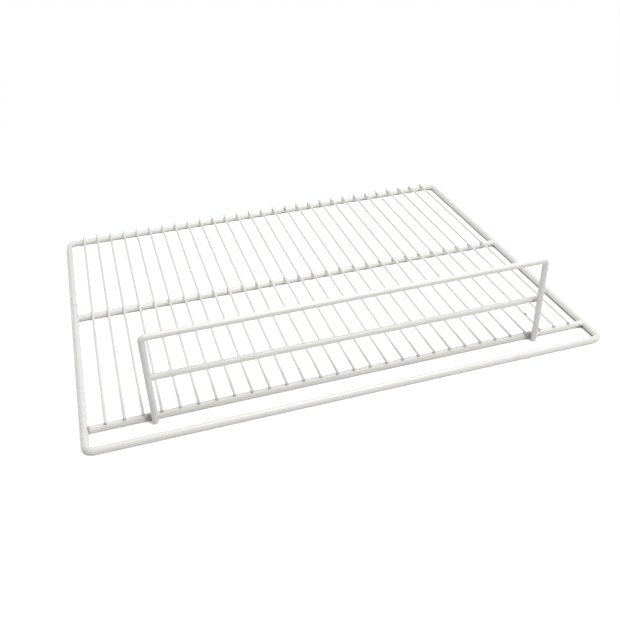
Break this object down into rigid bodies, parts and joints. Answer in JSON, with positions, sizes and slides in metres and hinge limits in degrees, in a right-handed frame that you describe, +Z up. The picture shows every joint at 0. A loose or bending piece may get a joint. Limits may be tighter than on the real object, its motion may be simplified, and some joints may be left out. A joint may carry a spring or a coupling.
{
  "type": "refrigerator shelf",
  "caption": "Flat coated wire refrigerator shelf: bent rod frame, cross rods, thin slats from front to back and an upright railed guard that keeps goods from sliding off the front.",
  "frame": {"origin": "centre of the shelf's outline, on the plane that the frame's underside rests on", "axes": "+X to the right along the front rail, +Y from the guarded front to the back, +Z up"},
  "size_m": [0.53, 0.4208, 0.0995],
  "materials": {
    "white_coating": "semi-gloss white coating on steel wire"
  },
  "bodies": {
    "root": {"outer_frame": "white_coating", "front_cross_rod": "white_coating", "mid_cross_rod": "white_coating", "guard_hoop": "white_coating", "guard_mid_rail": "white_coating", "slat_01": "white_coating", "slat_02": "white_coating", "slat_03": "white_coating", "slat_04": "white_coating", "slat_05": "white_coating", "slat_06": "white_coating", "slat_07": "white_coating", "slat_08": "white_coating", "slat_09": "white_coating", "slat_10": "white_coating", "slat_11": "white_coating", "slat_12": "white_coating", "slat_13": "white_coating", "slat_14": "white_coating", "slat_15": "white_coating", "slat_16": "white_coating", "slat_17": "white_coating", "slat_18": "white_coating", "slat_19": "white_coating", "slat_20": "white_coating", "slat_21": "white_coating", "slat_22": "white_coating", "slat_23": "white_coating", "slat_24": "white_coating", "slat_25": "white_coating", "slat_26": "white_coating", "slat_27": "white_coating", "slat_28": "white_coating", "slat_29": "white_coating"}
  },
  "joints": []
}
